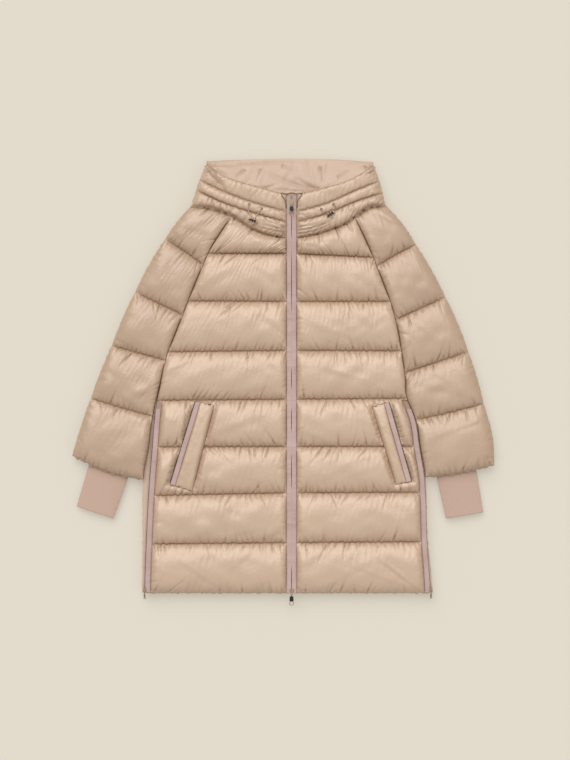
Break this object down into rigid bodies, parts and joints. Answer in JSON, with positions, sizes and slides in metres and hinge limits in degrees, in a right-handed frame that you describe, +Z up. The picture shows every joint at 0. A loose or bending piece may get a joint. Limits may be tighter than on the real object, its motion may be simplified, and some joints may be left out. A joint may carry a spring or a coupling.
{
  "type": "long puffer coat",
  "caption": "Long hooded down coat laid flat, with horizontal quilting, raglan sleeves, knit cuffs, slanted welt pockets, a front zip and side zips.",
  "frame": {"origin": "bottom centre of the coat's bounding box, in the plane of the surface it lies on", "axes": "+X to the right of someone who looks down on the coat's front, +Y from the hem to the hood along its length, +Z up from the surface"},
  "size_m": [0.8792, 0.933, 0.0476],
  "materials": {
    "shell": "smooth satin down-proof nylon in champagne beige",
    "lining": "duller plain-woven lining, a little pinker than the shell",
    "rib": "fine matt rib knit in rosy taupe",
    "tape": "woven zip tape in muted mauve",
    "teeth": "dark coil teeth",
    "metal": "pale gold plated metal",
    "enamel": "glossy black enamel over metal",
    "cord": "round braided cord in mauve"
  },
  "bodies": {
    "coat": {"back_panel": "shell", "front_left": "shell", "front_right": "shell", "sleeve_left_front": "shell", "sleeve_left_back": "shell", "sleeve_right_front": "shell", "sleeve_right_back": "shell", "cuff_left": "rib", "cuff_right": "rib", "hood_back": "lining", "hood_front_left": "shell", "hood_front_right": "shell", "front_zip_tape_left": "tape", "front_zip_tape_right": "tape", "front_zip_teeth": "teeth", "front_top_slider": "metal", "front_bottom_slider": "metal", "side_left_slider": "metal", "side_right_slider": "metal", "side_zip_left_tape_front": "tape", "side_zip_left_tape_back": "tape", "side_zip_left_teeth": "teeth", "side_zip_right_tape_front": "tape", "side_zip_right_teeth": "teeth", "pocket_left_welt": "shell", "pocket_left_tape": "tape", "pocket_left_teeth": "teeth", "pocket_right_welt": "shell", "pocket_right_tape": "tape", "pocket_right_teeth": "teeth", "eyelet_left_1": "metal", "eyelet_left_2": "metal", "eyelet_right_1": "metal", "eyelet_right_2": "metal", "drawcord_left_1": "cord", "drawcord_left_2": "cord", "drawcord_right_1": "cord", "drawcord_right_2": "cord", "cord_lock_left": "enamel", "cord_lock_right": "enamel"},
    "top_pull": {"front_top_pull": "enamel"},
    "bottom_pull": {"front_bottom_pull": "enamel"},
    "left_pull": {"side_left_pull": "metal"},
    "right_pull": {"side_right_pull": "metal"}
  },
  "joints": [
    {"name": "top_pull_swing", "type": "hinge", "parent": "coat", "child": "top_pull", "pos_m": [0.01723, 0.3685, 0.039], "axis": [-1, 0, 0], "range_deg": [0, 160]},
    {"name": "bottom_pull_swing", "type": "hinge", "parent": "coat", "child": "bottom_pull", "pos_m": [0.01723, -0.4425, 0.039], "axis": [-1, 0, 0], "range_deg": [-30, 140]},
    {"name": "left_pull_swing", "type": "hinge", "parent": "coat", "child": "left_pull", "pos_m": [-0.28917, -0.4376, 0.0339], "axis": [-1, 0, 0], "range_deg": [-20, 135]},
    {"name": "right_pull_swing", "type": "hinge", "parent": "coat", "child": "right_pull", "pos_m": [0.30803, -0.4366, 0.0339], "axis": [-1, 0, 0], "range_deg": [-20, 135]}
  ]
}
